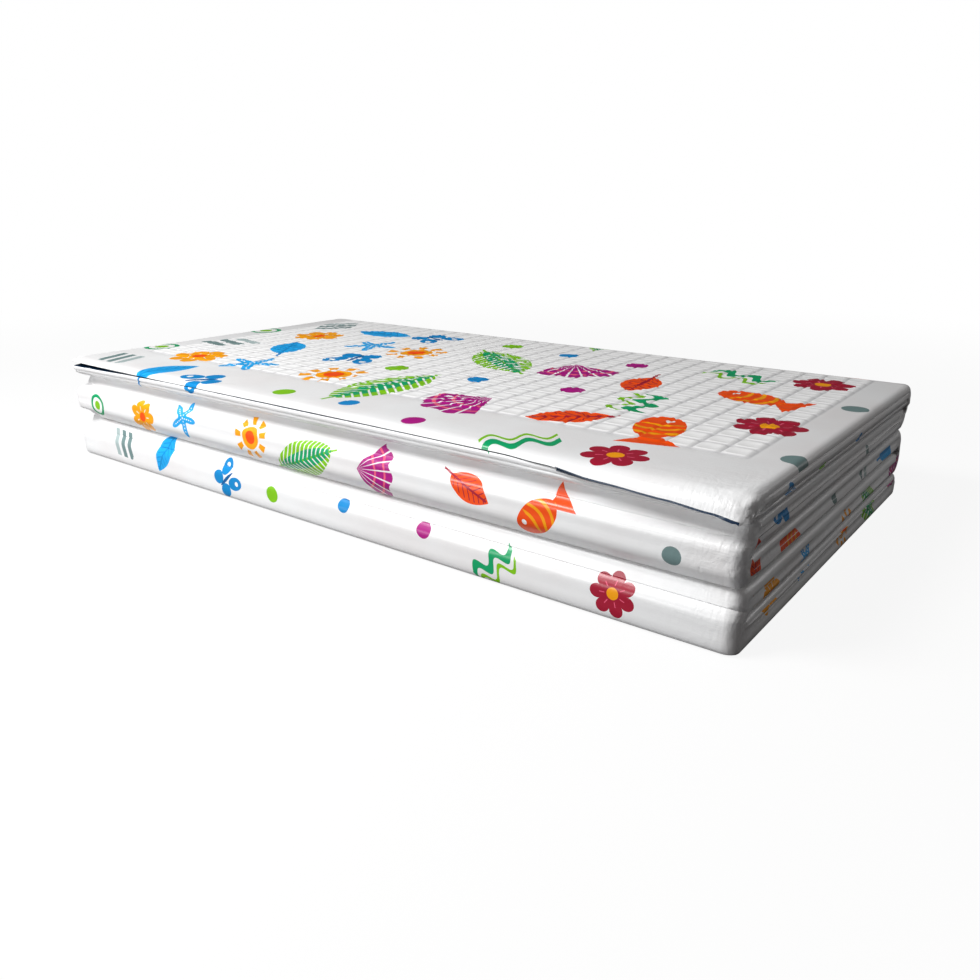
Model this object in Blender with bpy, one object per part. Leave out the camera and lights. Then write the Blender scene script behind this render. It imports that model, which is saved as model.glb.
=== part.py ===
"""A thick baby play mat, folded back and forth into a stack of five foam-filled panels.

The mat is one piece: five slabs of foam wrapped in one film cover, which also makes the four folds.
Its solid is therefore one closed body, a back-and-forth section that is lofted along the panels.
X runs along the folds, Y from the front folds to the back ones, and Z up through the stack.
"""
import math

import bmesh
import bpy

# Driving dimensions, in metres.
PANEL_LENGTH = 1.060        # along the folds
PANEL_DEPTH = 0.565         # from the front fold plane to the back one
PANEL_THICKNESS = 0.030     # one foam-filled layer
PANEL_COUNT = 5
LAYER_GAP = 0.001           # air between two layers that lie on each other
FOLD_WEB = 0.014            # from the outside of a fold to the end of the gap inside it
FOLD_CORNER_RADIUS = 0.013  # corner of a fold, seen from above
EDGE_CORNER_RADIUS = 0.009  # corner of a free edge, seen from above
SLIT_LIP = 0.0005           # least height of the seam slit's mouth
SLIDE_BLEND = 0.15          # of a panel's thickness, on each side of a contact

FILM_COLOUR = (0.86, 0.86, 0.85, 1.0)
FILM_ROUGHNESS = 0.32

# How much the film rounds off each panel's upper and lower edge at the short ends, and how far the
# panel has slid along the folds. The bottom panel comes first.
PANELS = (
    # upper, lower, slide
    (0.005, 0.003, -0.0025),
    (0.010, 0.005, -0.0025),
    (0.005, 0.009, -0.0030),
    (0.004, 0.005, -0.0030),
    (0.007, 0.007, 0.0),
)

# The outside of each fold. Rise runs from -1 at the lower panel's underside to 1 at the upper
# panel's top, and depth is measured inwards from the fold plane.
LOWER_FRONT_FOLD = (
    # rise, depth
    (-1.00, 0.0050),
    (-0.90, 0.0016),
    (-0.72, 0.0002),
    (-0.30, 0.0000),
    (0.08, 0.0003),
    (0.20, 0.0014),
    (0.34, 0.0042),
    (0.50, 0.0068),
    (0.74, 0.0090),
    (0.91, 0.0115),
    (1.00, 0.0145),
)
UPPER_FRONT_FOLD = (
    # rise, depth
    (-1.00, 0.0125),
    (-0.93, 0.0090),
    (-0.78, 0.0056),
    (-0.60, 0.0020),
    (-0.45, 0.0003),
    (0.00, 0.0000),
    (0.38, 0.0002),
    (0.52, 0.0014),
    (0.68, 0.0046),
    (0.86, 0.0078),
    (1.00, 0.0125),
)
LOWER_BACK_FOLD = (
    # rise, depth
    (-1.00, 0.0130),
    (-0.88, 0.0076),
    (-0.66, 0.0026),
    (-0.42, 0.0003),
    (0.00, 0.0000),
    (0.42, 0.0003),
    (0.66, 0.0026),
    (0.88, 0.0076),
    (1.00, 0.0130),
)
UPPER_BACK_FOLD = (
    # rise, depth
    (-1.00, 0.0130),
    (-0.88, 0.0076),
    (-0.66, 0.0026),
    (-0.42, 0.0003),
    (0.10, 0.0000),
    (0.55, 0.0003),
    (0.76, 0.0022),
    (0.90, 0.0066),
    (0.97, 0.0150),
    (1.00, 0.0280),
)

# The bottom panel's free edge at the back, from its underside at rise 0 to its top at rise 1,
# with the welded seam as a low welt.
BACK_EDGE = (
    # rise, depth
    (0.00, 0.0060),
    (0.08, 0.0026),
    (0.26, 0.0012),
    (0.42, 0.0014),
    (0.45, 0.0000),
    (0.61, 0.0000),
    (0.64, 0.0018),
    (0.84, 0.0040),
    (0.94, 0.0074),
    (1.00, 0.0120),
)

# The top panel's free edge at the front. Its seam gapes at the left corner, and its upper film
# droops over the seam towards the right corner. Heights are above the panel's underside.
FRONT_SEAM = (
    # along (0 to 1), lip_height, lip_out, slit_height, slit_depth, welt_out
    (0.00, 0.0245, 0.0010, 0.0070, 0.0200, 0.0010),
    (0.06, 0.0238, 0.0008, 0.0052, 0.0150, 0.0010),
    (0.17, 0.0230, 0.0004, 0.0022, 0.0070, 0.0010),
    (0.25, 0.0226, 0.0000, 0.0010, 0.0026, 0.0010),
    (0.80, 0.0222, 0.0000, 0.0010, 0.0026, 0.0010),
    (0.86, 0.0198, 0.0008, 0.0012, 0.0050, 0.0000),
    (0.92, 0.0140, 0.0026, 0.0014, 0.0080, -0.0016),
    (0.96, 0.0096, 0.0044, 0.0014, 0.0090, -0.0024),
    (1.00, 0.0050, 0.0060, 0.0014, 0.0100, -0.0030),
)
WELT_SHARE = 0.24           # of the height under the slit
BAND_SHARE = 0.34           # of the height under the slit
# The crown of the top panel above its seam: share of the way up, and depth behind the lip.
FRONT_CROWN = (
    # share, depth
    (0.28, 0.0004),
    (0.60, 0.0026),
    (0.84, 0.0084),
    (0.96, 0.0185),
    (1.00, 0.0330),
)

# Where the loft has its sections: angles round the corner at each end, and places between.
CORNER_ANGLES = (0, 10, 20, 32, 45, 60, 75, 90)
MIDDLE_PLACES = (0.06, 0.11, 0.17, 0.25, 0.38, 0.52, 0.66, 0.80, 0.86, 0.92, 0.96)
TOP_PLACES = (0.25, 0.5, 0.75)
INNER_PLACES = (0.5,)


def clear_scene():
    for thing in list(bpy.data.objects):
        bpy.data.objects.remove(thing, do_unlink=True)


def drawn_in(radius, from_end):
    """How far a round of this radius has drawn in at this distance from the panel's end."""
    if from_end >= radius:
        return 0.0
    return radius - math.sqrt(radius ** 2 - (radius - from_end) ** 2)


def seam_at(along):
    """The front seam's sizes at a place along the panel, between the rows of its table."""
    for row, following in zip(FRONT_SEAM, FRONT_SEAM[1:]):
        if along <= following[0]:
            share = (along - row[0]) / (following[0] - row[0])
            share = share * share * (3 - 2 * share)
            return [a + (b - a) * share for a, b in zip(row[1:], following[1:])]
    return list(FRONT_SEAM[-1][1:])


def surface_heights(from_end):
    """The lower and upper surface of every panel, at this distance from the end."""
    heights = []
    for layer, (upper, lower, _) in enumerate(PANELS):
        bottom = layer * PANEL_THICKNESS + (LAYER_GAP / 2 if layer else 0)
        top = (layer + 1) * PANEL_THICKNESS - (LAYER_GAP / 2 if layer < PANEL_COUNT - 1 else 0)
        heights.append((bottom + drawn_in(lower, from_end), top - drawn_in(upper, from_end)))
    return heights


def fold_outline(profile, low, middle, high, pull, front):
    """Points up the outside of a fold, from the lower panel's underside to the upper one's top."""
    points = []
    for rise, depth in profile:
        height = middle + rise * ((high - middle) if rise > 0 else (middle - low))
        inwards = depth + pull
        points.append((inwards if front else PANEL_DEPTH - inwards, height))
    return points


def gap_end(layer, heights, front, pull):
    """The closed end of the gap between a panel and the next one up, seen from the lower panel."""
    low = heights[layer][1]
    high = heights[layer + 1][0]
    depth = FOLD_WEB + pull
    tip = depth - (high - low) / 2
    places = ((depth, low), (tip, (low + high) / 2), (depth, high))
    return [(y if front else PANEL_DEPTH - y, z) for y, z in places]


def front_edge(along, low, high, pull):
    """Points up the top panel's free edge, with its seam, from its underside to its top."""
    lip_height, lip_out, slit_height, slit_depth, welt_out = seam_at(along)
    scale = (high - low) / (PANEL_THICKNESS - LAYER_GAP / 2)
    lip = low + lip_height * scale
    slit = max(slit_height * scale, SLIT_LIP)
    welt_top = lip - slit
    under = welt_top - low
    welt_bottom = welt_top - under * WELT_SHARE
    band_bottom = welt_bottom - under * BAND_SHARE
    points = [
        (0.0120, low),
        (0.0060, low + (band_bottom - low) * 0.35),
        (0.0026, low + (band_bottom - low) * 0.75),
        (0.0014, band_bottom + under * 0.06),
        (0.0012, welt_bottom - under * 0.03),
        (-welt_out, welt_bottom),
        (-welt_out, welt_top),
        (slit_depth, welt_top + slit * 0.25),
        (slit_depth, lip - slit * 0.25),
        (-lip_out, lip),
    ]
    for share, depth in FRONT_CROWN:
        points.append((depth - lip_out * (1 - share), lip + (high - lip) * share))
    return [(y + pull, z) for y, z in points]


def along_surface(start, end, height, places):
    return [(start + (end - start) * place, height) for place in places]


def middle_row(profile):
    """The row of a fold's profile that lies nearest the plane where its two panels meet."""
    return min(range(len(profile)), key=lambda index: abs(profile[index][0]))


def section(along, from_end):
    """The back-and-forth outline of all five layers, as a closed ring of (y, z) points.

    Its second result is the ring's index of each place where the outline crosses from one panel to
    the next: the middle of each fold's outside and the end of each gap, in the ring's order.
    """
    fold_pull = drawn_in(FOLD_CORNER_RADIUS, from_end)
    edge_pull = drawn_in(EDGE_CORNER_RADIUS, from_end)
    heights = surface_heights(from_end)
    middles = [(heights[layer][1] + heights[layer + 1][0]) / 2 for layer in range(PANEL_COUNT - 1)]

    def fold(profile, layer, front):
        return fold_outline(profile, heights[layer][0], middles[layer], heights[layer + 1][1], fold_pull, front)

    lower_front = fold(LOWER_FRONT_FOLD, 0, True)
    upper_front = fold(UPPER_FRONT_FOLD, 2, True)
    lower_back = fold(LOWER_BACK_FOLD, 1, False)
    upper_back = fold(UPPER_BACK_FOLD, 3, False)
    top_front = front_edge(along, heights[4][0], heights[4][1], edge_pull)
    bottom_low, bottom_high = heights[0]
    bottom_back = [(PANEL_DEPTH - depth - edge_pull, bottom_low + rise * (bottom_high - bottom_low))
                   for rise, depth in BACK_EDGE]

    # Up the front first, in and out of the gaps that open there, then down the back. With each
    # stretch goes the index of its crossing point, where it has one.
    gap_tip = 1
    stretches = [
        (lower_front, middle_row(LOWER_FRONT_FOLD)),
        (gap_end(1, heights, False, fold_pull), gap_tip),
        (upper_front, middle_row(UPPER_FRONT_FOLD)),
        (gap_end(3, heights, False, fold_pull), gap_tip),
        (top_front, None),
        (upper_back[::-1], len(upper_back) - 1 - middle_row(UPPER_BACK_FOLD)),
        (gap_end(2, heights, True, fold_pull)[::-1], gap_tip),
        (lower_back[::-1], len(lower_back) - 1 - middle_row(LOWER_BACK_FOLD)),
        (gap_end(0, heights, True, fold_pull)[::-1], gap_tip),
        (bottom_back[::-1], None),
    ]
    ring = []
    crossings = []
    for index, (stretch, crossing) in enumerate(stretches):
        if crossing is not None:
            crossings.append(len(ring) + crossing)
        ring += stretch
        following = stretches[(index + 1) % len(stretches)][0]
        places = TOP_PLACES if stretch is top_front else INNER_PLACES
        ring += along_surface(stretch[-1][0], following[0][0], stretch[-1][1], places)
    return ring, crossings


def panel_stretches(crossings, count):
    """The ring's indices round each panel's own end, from the bottom panel to the top one."""
    pairs = []
    for layer in range(PANEL_COUNT):
        start = crossings[layer - 1] if layer else 0
        outward = list(range(start, crossings[layer] + 1)) if layer < PANEL_COUNT - 1 else []
        pairs.append(outward)
    last = len(crossings) - 1
    ends = []
    for layer in range(PANEL_COUNT):
        if layer == PANEL_COUNT - 1:
            ends.append(list(range(crossings[layer - 1], crossings[layer] + 1)))
            continue
        start = crossings[last - layer]
        finish = crossings[last - layer + 1] + 1 if layer else count
        ends.append(pairs[layer] + list(range(start, finish)))
    return ends


def slide_at(height):
    """How far the layer at this height has slid along the folds, blended close to each contact."""
    contact = min(max(round(height / PANEL_THICKNESS), 1), PANEL_COUNT - 1)
    beyond = height / PANEL_THICKNESS - contact
    share = min(max(0.5 + beyond / (2 * SLIDE_BLEND), 0.0), 1.0)
    return PANELS[contact - 1][2] * (1 - share) + PANELS[contact][2] * share


def loft_places():
    """Each section's place along the panel, and its distance from the nearer end."""
    ends = [FOLD_CORNER_RADIUS * (1 - math.cos(math.radians(angle))) for angle in CORNER_ANGLES]
    places = [(depth, depth) for depth in ends]
    places += [(share * PANEL_LENGTH, FOLD_CORNER_RADIUS) for share in MIDDLE_PLACES]
    places += [(PANEL_LENGTH - depth, depth) for depth in reversed(ends)]
    return places


def folded_mat_mesh():
    shape = bmesh.new()
    rings = []
    for place, from_end in loft_places():
        outline, crossings = section(place / PANEL_LENGTH, from_end)
        rings.append([shape.verts.new((place + slide_at(z), y, z)) for y, z in outline])
    count = len(rings[0])
    for ring, following in zip(rings, rings[1:]):
        for index in range(count):
            after = (index + 1) % count
            shape.faces.new((ring[index], following[index], following[after], ring[after]))
    caps = []
    for indices in panel_stretches(crossings, count):
        caps.append(shape.faces.new([rings[0][index] for index in indices]))
        caps.append(shape.faces.new([rings[-1][index] for index in reversed(indices)]))
    shape.normal_update()
    bmesh.ops.triangulate(shape, faces=caps, ngon_method="EAR_CLIP")
    bmesh.ops.recalc_face_normals(shape, faces=shape.faces)
    stand_at_origin(shape)
    mesh = bpy.data.meshes.new("folded_mat")
    shape.to_mesh(mesh)
    shape.free()
    return mesh


def stand_at_origin(shape):
    """Moves the shape so that the middle of its base is the origin."""
    lowest = [min(vertex.co[axis] for vertex in shape.verts) for axis in range(3)]
    highest = [max(vertex.co[axis] for vertex in shape.verts) for axis in range(3)]
    middle = [(low + high) / 2 for low, high in zip(lowest, highest)]
    bmesh.ops.translate(shape, verts=shape.verts, vec=(-middle[0], -middle[1], -lowest[2]))


def film_material():
    material = bpy.data.materials.new("white film")
    material.use_nodes = True
    shader = material.node_tree.nodes["Principled BSDF"]
    shader.inputs["Base Color"].default_value = FILM_COLOUR
    shader.inputs["Roughness"].default_value = FILM_ROUGHNESS
    shader.inputs["Metallic"].default_value = 0.0
    return material


def build():
    clear_scene()
    collection = bpy.data.collections.new("folding baby play mat")
    bpy.context.scene.collection.children.link(collection)
    mesh = folded_mat_mesh()
    mesh.materials.append(film_material())
    mesh.shade_smooth()
    mesh.set_sharp_from_angle(angle=math.radians(40))
    mat = bpy.data.objects.new("folded_mat", mesh)
    collection.objects.link(mat)


build()
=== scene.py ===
"""The looks of a thick baby play mat, folded back and forth into a stack of five padded panels.

The cover is one skin of printed film. It is lofted along the folds from a back-and-forth section,
the pads on its top are pressed by a geometry node tree, and its print is drawn by its material.
Lengths are in metres. Section coordinates start at the left end, the front fold plane and the base.
"""
import math

import bpy
import numpy as np
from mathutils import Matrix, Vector, noise


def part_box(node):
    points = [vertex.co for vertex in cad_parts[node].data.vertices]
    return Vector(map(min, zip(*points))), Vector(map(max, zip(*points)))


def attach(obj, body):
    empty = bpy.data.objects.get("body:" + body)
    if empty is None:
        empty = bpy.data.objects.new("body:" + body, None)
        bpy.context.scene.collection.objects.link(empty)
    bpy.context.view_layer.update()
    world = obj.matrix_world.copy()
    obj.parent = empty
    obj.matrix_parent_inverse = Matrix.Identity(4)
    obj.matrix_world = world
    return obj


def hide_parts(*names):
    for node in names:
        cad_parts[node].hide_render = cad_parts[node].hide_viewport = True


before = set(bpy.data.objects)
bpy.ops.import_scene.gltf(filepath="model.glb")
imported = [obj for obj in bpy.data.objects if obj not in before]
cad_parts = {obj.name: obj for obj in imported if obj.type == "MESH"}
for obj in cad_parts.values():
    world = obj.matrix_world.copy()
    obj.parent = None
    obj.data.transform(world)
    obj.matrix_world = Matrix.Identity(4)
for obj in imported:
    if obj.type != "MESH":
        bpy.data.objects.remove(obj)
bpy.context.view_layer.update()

# The panels, as the frame has them.
PANEL_LENGTH = 1.060
PANEL_DEPTH = 0.565
PANEL_COUNT = 5
TOP_PANEL = PANEL_COUNT - 1
LARGEST_SLIDE = 0.003        # of a panel along the folds
MAT_LOW, MAT_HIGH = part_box("folded_mat")
STACK_HEIGHT = MAT_HIGH.z - MAT_LOW.z
PANEL_THICKNESS = STACK_HEIGHT / PANEL_COUNT
SECTION_START = Vector((MAT_LOW.x + LARGEST_SLIDE, MAT_HIGH.y - PANEL_DEPTH, MAT_LOW.z))
LAYER_GAP = 0.001
FOLD_WEB = 0.014             # from a fold's plane to where its two panels part
FOLD_CORNER_RADIUS = 0.013   # of the folds at the mat's corners, seen from above
EDGE_CORNER_RADIUS = 0.013   # of the free edges there
SLIDE_BLEND = 0.15           # to each side of a contact, as a share of a panel's height

# The pressed pads on the top.
PAD_PITCH = 0.02925
PAD_COLUMNS = 33
PAD_ROWS = 15
PAD_FIELD_RIGHT = 0.045     # from the last column to the right end
PAD_FIELD_BACK = 0.022      # from the last row to the back folds
PAD_HEIGHT = 0.0012         # of a pad's rim over the borders
PAD_SINK = 0.0004           # of the valleys under the borders
PAD_SLOPE = 0.0029          # from the middle of a valley to the rim
PAD_CORNER = 0.0064         # round of a pad's corners, seen from above
PAD_RIM_END = 0.0046        # where the rim starts to fall to the pad's face
PAD_FACE_START = 0.0076      # where the face has its whole depth
PAD_DISH = 0.0007           # of a pad's face under its rim
PAD_STEPS = (0.0, 0.099, 0.157, 0.260, 0.740, 0.843, 0.901)      # the skin's lines on a pad
FIRST_COLUMN = PANEL_LENGTH - PAD_FIELD_RIGHT - PAD_COLUMNS * PAD_PITCH
FIRST_ROW = PANEL_DEPTH - PAD_FIELD_BACK - PAD_ROWS * PAD_PITCH

# How much the film rounds off each panel's edges at the short ends, and how far the panel has slid.
PANELS = (
    # upper, lower, slide
    (0.006, 0.003, -0.0025),
    (0.010, 0.006, -0.0025),
    (0.007, 0.010, -0.0030),
    (0.007, 0.007, -0.0030),
    (0.008, 0.008, 0.0),
)

# The outside of each fold. Rise runs from -1 at the lower panel's underside to 1 at the upper
# panel's top, and depth is measured inwards from the fold plane.
LOWER_FRONT_FOLD = (
    # rise, depth
    (-1.00, 0.0060),
    (-0.96, 0.0034),
    (-0.90, 0.0016),
    (-0.72, 0.0002),
    (-0.30, 0.0000),
    (0.00, 0.0001),
    (0.08, 0.0003),
    (0.20, 0.0014),
    (0.34, 0.0042),
    (0.43, 0.0060),
    (0.46, 0.0074),
    (0.49, 0.0067),
    (0.60, 0.0078),
    (0.74, 0.0090),
    (0.91, 0.0115),
    (1.00, 0.0145),
)
UPPER_FRONT_FOLD = (
    # rise, depth
    (-1.00, 0.0140),
    (-0.93, 0.0095),
    (-0.78, 0.0060),
    (-0.60, 0.0022),
    (-0.46, 0.0004),
    (0.00, 0.0000),
    (0.30, 0.0001),
    (0.39, 0.0010),
    (0.45, 0.0034),
    (0.52, 0.0070),
    (0.58, 0.0096),
    (0.62, 0.0107),
    (0.65, 0.0105),
    (0.69, 0.0109),
    (0.86, 0.0136),
    (1.03, 0.0172),
    (1.12, 0.0200),
    (1.10, 0.0222),
    (1.00, 0.0240),
)
# The back folds are plain rounds, but the upper one runs on into the flat top.
ROUND_UPPER_HALF = (
    # rise, depth
    (0.42, 0.0003),
    (0.66, 0.0026),
    (0.88, 0.0076),
    (1.00, 0.0130),
)
ROUND_LOWER_HALF = tuple((-rise, depth) for rise, depth in reversed(ROUND_UPPER_HALF))
LOWER_BACK_FOLD = (*ROUND_LOWER_HALF, (0.0, 0.0), *ROUND_UPPER_HALF)
UPPER_BACK_FOLD = (
    *ROUND_LOWER_HALF,
    # rise, depth
    (0.00, 0.0000),
    (0.55, 0.0003),
    (0.76, 0.0022),
    (0.90, 0.0060),
    (0.97, 0.0120),
    (1.00, 0.0205),
)
# At the left end, how far the top and the bottom of each front fold are tucked in behind its face.
LEFT_TUCK = 0.009
TUCK_REACH = 0.060           # from the left end to where the tuck begins
TUCK_BLEND = 0.12            # in rise, from where a tuck starts to its whole depth
TUCK_RISES = {
    # bottom, top
    "lower front fold": (-1.2, 0.46),
    "upper front fold": (-0.58, 0.50),
}
FRONT_SPACING = 0.12         # between a section's points, as a share of a panel's height
BACK_SPACING = 0.22
DEPTH_WEIGHT = 40            # how much a table's depth counts against its rise in spacing points

# The bottom panel's free edge at the back, from its underside at rise 0 to its top at rise 1,
# with the welded seam as a low welt.
BACK_EDGE = (
    # rise, depth
    (0.00, 0.0060),
    (0.08, 0.0026),
    (0.26, 0.0012),
    (0.42, 0.0014),
    (0.45, 0.0000),
    (0.61, 0.0000),
    (0.64, 0.0018),
    (0.84, 0.0040),
    (0.94, 0.0074),
    (1.00, 0.0120),
)

# The top panel's free edge at the front. Its seam gapes at the left corner, and its upper film
# droops over the seam towards the right corner. Heights are above the panel's underside.
FRONT_SEAM = (
    # along (0 to 1), lip_height, lip_out, slit_height, slit_depth, welt_out
    (0.00, 0.0245, 0.0010, 0.0070, 0.0200, 0.0010),
    (0.06, 0.0238, 0.0008, 0.0052, 0.0150, 0.0010),
    (0.17, 0.0230, 0.0004, 0.0022, 0.0070, 0.0010),
    (0.25, 0.0226, 0.0000, 0.0010, 0.0026, 0.0010),
    (0.55, 0.0225, 0.0002, 0.0012, 0.0040, 0.0010),
    (0.76, 0.0222, 0.0008, 0.0014, 0.0050, 0.0008),
    (0.81, 0.0205, 0.0020, 0.0016, 0.0060, 0.0000),
    (0.866, 0.0152, 0.0042, 0.0018, 0.0075, -0.0030),
    (0.93, 0.0124, 0.0060, 0.0018, 0.0085, -0.0046),
    (0.97, 0.0094, 0.0070, 0.0014, 0.0070, -0.0050),
    (1.00, 0.0050, 0.0070, 0.0005, 0.0030, -0.0040),
)
LEAST_SLIT = 0.0005
WELT_SHARE = 0.24            # of the height from the panel's underside to the slit
BAND_SHARE = 0.34
# The crown of the top panel above its seam: share of the way up, and depth behind the lip.
FRONT_CROWN = (
    # share, depth
    (0.00, 0.0000),
    (0.28, 0.0004),
    (0.60, 0.0026),
    (0.84, 0.0084),
    (0.96, 0.0185),
    (1.00, 0.0330),
)
CROWN_SPACING = 0.12

# Stations along the folds: angles round the corners, and the share of each loop that closes an end.
CORNER_ANGLES = (0, 8, 16, 26, 38, 52, 66, 78, 90)
END_LOOPS = (0.92, 0.84, 0.76, 0.68, 0.60, 0.52, 0.46, 0.38, 0.28, 0.16, 0.03)
# How far each panel's end stands out, by height: 0 is the panel's underside, 1 its top.
END_RELIEF = (
    # height, bottom, second, third, fourth, top
    (0.00, -0.0010, -0.0030, -0.0045, -0.0045, -0.0050),
    (0.10, 0.0004, -0.0014, -0.0040, -0.0036, -0.0044),
    (0.22, 0.0016, 0.0010, -0.0006, -0.0004, -0.0028),
    (0.34, 0.0008, 0.0014, 0.0020, 0.0018, -0.0004),
    (0.46, -0.0014, -0.0008, 0.0006, 0.0004, 0.0016),
    (0.58, -0.0020, -0.0016, -0.0014, -0.0016, 0.0024),
    (0.68, -0.0006, 0.0004, -0.0016, -0.0016, 0.0012),
    (0.76, 0.0016, 0.0018, 0.0004, 0.0006, -0.0024),
    (0.84, 0.0018, 0.0006, 0.0020, 0.0020, -0.0014),
    (0.92, 0.0004, -0.0022, 0.0012, 0.0012, 0.0004),
    (1.00, -0.0014, -0.0044, -0.0010, -0.0010, 0.0004),
)
END_FADE = 0.045             # from a panel's corner to where its end has its whole relief
INNER_POINTS = 24            # across each face that lies inside the stack
BASE_POINTS = 14             # across the underside
BORDER_POINTS = 4            # across the border in front of the pads


def steps(start, end, count):
    """This many values strictly between two others."""
    return [start + (end - start) * (index + 1) / (count + 1) for index in range(count)]


def smooth_run(rows, spacing):
    """Points along a soft curve through a table's rows, no further apart than the spacing."""
    rows = np.array(rows, float)
    lengths = np.linalg.norm(np.diff(rows, axis=0) * (1, DEPTH_WEIGHT), axis=1)
    slopes = np.gradient(rows, np.concatenate(([0.0], np.cumsum(lengths))), axis=0)
    found = []
    for index, length in enumerate(lengths):
        count = math.ceil(length / spacing)
        for t in np.arange(count) / count:
            found.append(rows[index] * (1 + 2 * t) * (1 - t) ** 2
                         + rows[index + 1] * t * t * (3 - 2 * t)
                         + slopes[index] * length * t * (1 - t) ** 2
                         - slopes[index + 1] * length * t * t * (1 - t))
    return np.array(found + [rows[-1]])


FOLDS = {
    # name: outside, the lower of its two panels, at the front or not
    "lower front fold": (smooth_run(LOWER_FRONT_FOLD, FRONT_SPACING), 0, True),
    "upper front fold": (smooth_run(UPPER_FRONT_FOLD, FRONT_SPACING), 2, True),
    "lower back fold": (smooth_run(LOWER_BACK_FOLD, BACK_SPACING), 1, False),
    "upper back fold": (smooth_run(UPPER_BACK_FOLD, BACK_SPACING), 3, False),
}
CROWN = smooth_run(FRONT_CROWN, CROWN_SPACING)


def drawn_in(radius, from_end):
    """How far a round of this radius has drawn in at this distance from the panel's end."""
    if from_end >= radius:
        return 0.0
    return radius - math.sqrt(radius ** 2 - (radius - from_end) ** 2)


def seam_at(along):
    """The front seam's sizes at a place along the panel, between the rows of its table."""
    for row, following in zip(FRONT_SEAM, FRONT_SEAM[1:]):
        if along <= following[0]:
            share = (along - row[0]) / (following[0] - row[0])
            share = share * share * (3 - 2 * share)
            return [a + (b - a) * share for a, b in zip(row[1:], following[1:])]
    return list(FRONT_SEAM[-1][1:])


def surface_heights(from_end):
    """The lower and upper surface of every panel, at this distance from the end."""
    heights = []
    for layer, (upper, lower, _) in enumerate(PANELS):
        bottom = layer * PANEL_THICKNESS + (LAYER_GAP / 2 if layer else 0)
        top = (layer + 1) * PANEL_THICKNESS - (LAYER_GAP / 2 if layer < TOP_PANEL else 0)
        heights.append((bottom + drawn_in(lower, from_end), top - drawn_in(upper, from_end)))
    return heights


def left_tuck(name, rise, along):
    """How far this row of a front fold is tucked in near the left end, as a share of the whole."""
    near = 1 - along * PANEL_LENGTH / TUCK_REACH
    if name not in TUCK_RISES or near < 0:
        return 0.0
    bottom, top = TUCK_RISES[name]
    beyond = min(max((rise - top) / TUCK_BLEND, (bottom - rise) / TUCK_BLEND, 0.0), 1.0)
    return beyond * near * near * (3 - 2 * near)


def fold_points(name, heights, pull, along):
    """Points up the outside of a fold, from the lower panel's underside to the upper one's top."""
    profile, layer, front = FOLDS[name]
    low = heights[layer][0]
    high = heights[layer + 1][1]
    middle = (heights[layer][1] + heights[layer + 1][0]) / 2
    points = []
    for rise, depth in profile:
        tuck = left_tuck(name, rise, along)
        rise -= max(rise - 1, 0.0) * tuck
        height = middle + rise * ((high - middle) if rise > 0 else (middle - low))
        inwards = depth + pull + tuck * LEFT_TUCK
        points.append((inwards if front else PANEL_DEPTH - inwards, height))
    return points


def gap_end(layer, heights, front, pull):
    """The closed end of the gap between a panel and the next one up, seen from the lower panel."""
    low = heights[layer][1]
    high = heights[layer + 1][0]
    depth = FOLD_WEB + pull
    tip = depth - (high - low) / 2
    places = ((depth, low), (tip, (low + high) / 2), (depth, high))
    return [(y if front else PANEL_DEPTH - y, z) for y, z in places]


def seam_edge(along, low, high, pull):
    """Points up the top panel's free edge, with its seam, from its underside to its lip."""
    lip_height, lip_out, slit_height, slit_depth, welt_out = seam_at(along)
    scale = (high - low) / (PANEL_THICKNESS - LAYER_GAP / 2)
    lip = low + lip_height * scale
    slit = max(slit_height * scale, LEAST_SLIT)
    welt_top = lip - slit
    under = welt_top - low
    welt_bottom = welt_top - under * WELT_SHARE
    band_bottom = welt_bottom - under * BAND_SHARE
    welt_middle = (welt_top + welt_bottom) / 2
    band_in = max(-welt_out, 0.0)
    return [(y + pull, z) for y, z in (
        (0.0210, low),
        (0.0172, low + (band_bottom - low) * 0.52),
        (0.0120, low + (band_bottom - low) * 0.58),
        (0.0064 + band_in * 0.6, low + (band_bottom - low) * 0.68),
        (0.0020 + band_in, band_bottom + under * 0.04),
        (0.0010 + band_in, (band_bottom + welt_bottom) / 2),
        (0.0012 + band_in, welt_bottom - under * 0.06),
        (0.0020 + band_in, welt_bottom - under * 0.02),
        (0.0004 - welt_out, welt_bottom),
        (-welt_out - 0.0004, welt_middle),
        (-welt_out, welt_top - under * 0.03),
        (0.0008 - welt_out, welt_top),
        (slit_depth, welt_top + slit * 0.30),
        (slit_depth, lip - slit * 0.30),
        (0.0006 - lip_out, lip - slit * 0.05),
    )]


def crown_points(along, low, high, pull):
    """Points from the top panel's lip, over its crown and on to its flat top."""
    lip_height, lip_out = seam_at(along)[:2]
    lip = low + lip_height * (high - low) / (PANEL_THICKNESS - LAYER_GAP / 2)
    return [(depth - lip_out * (1 - share) + pull, lip + (high - lip) * share)
            for share, depth in CROWN]


def pad_lines(start, count):
    """Where the rows or columns of pads have their lines, with one just before them."""
    lines = [start + (index + step) * PAD_PITCH for index in range(count) for step in PAD_STEPS]
    return [start - PAD_SLOPE] + lines + [start + count * PAD_PITCH]


def flat_run(start, end, height, count):
    """This many points between two depths, all at one height."""
    return [(y, height) for y in steps(start, end, count)]


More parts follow.
